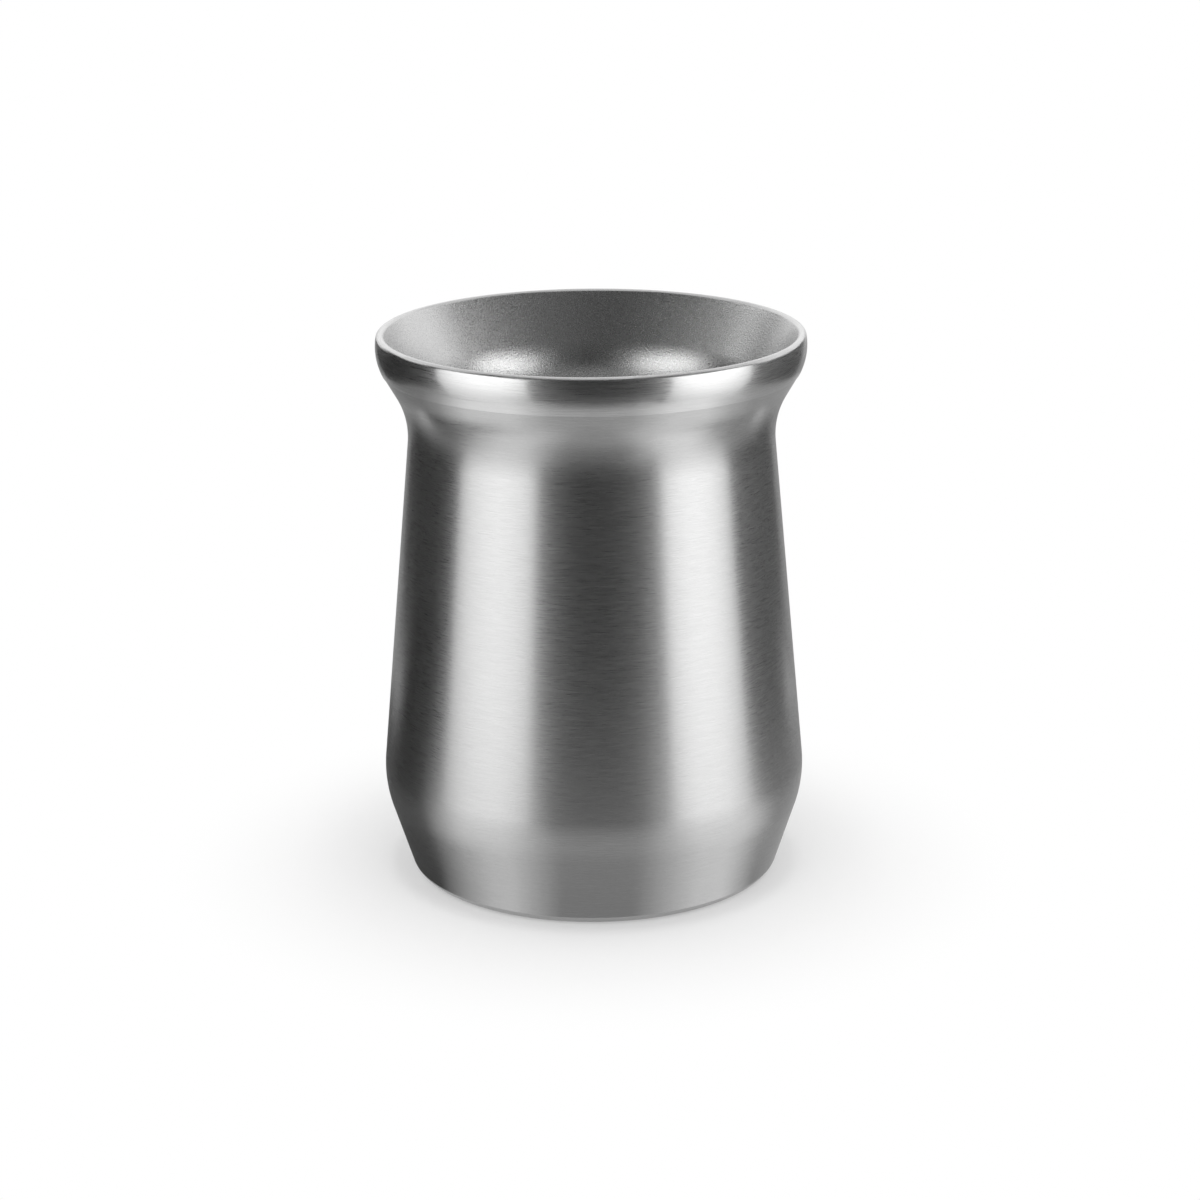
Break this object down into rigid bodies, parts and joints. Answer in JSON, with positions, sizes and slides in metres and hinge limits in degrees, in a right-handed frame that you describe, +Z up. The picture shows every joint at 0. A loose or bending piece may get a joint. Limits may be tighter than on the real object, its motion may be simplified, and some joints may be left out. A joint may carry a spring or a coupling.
{
  "type": "mate cup",
  "caption": "Insulated steel mate cup with a waisted neck, a flared mouth and a polished rim band, brushed outside and matt and grainy inside.",
  "frame": {"origin": "centre of the foot, on the table", "axes": "+Z up along the cup's axis; the getter under the liner lies towards +X"},
  "size_m": [0.0762, 0.0762, 0.099],
  "materials": {
    "brushed_steel": "brushed round the axis",
    "polished_steel": "polished",
    "blasted_steel": "matt, bead blasted",
    "plain_steel": "as pressed",
    "sealing_glass": "glossy",
    "getter_metal": "sintered"
  },
  "bodies": {
    "root": {"outer_shell": "brushed_steel", "rim_ring": "polished_steel", "inner_liner": "blasted_steel", "liner_bottom": "blasted_steel", "vacuum_base": "plain_steel", "base_cap": "brushed_steel", "seal_bead": "sealing_glass", "getter_tray": "plain_steel", "getter": "getter_metal"}
  },
  "joints": []
}
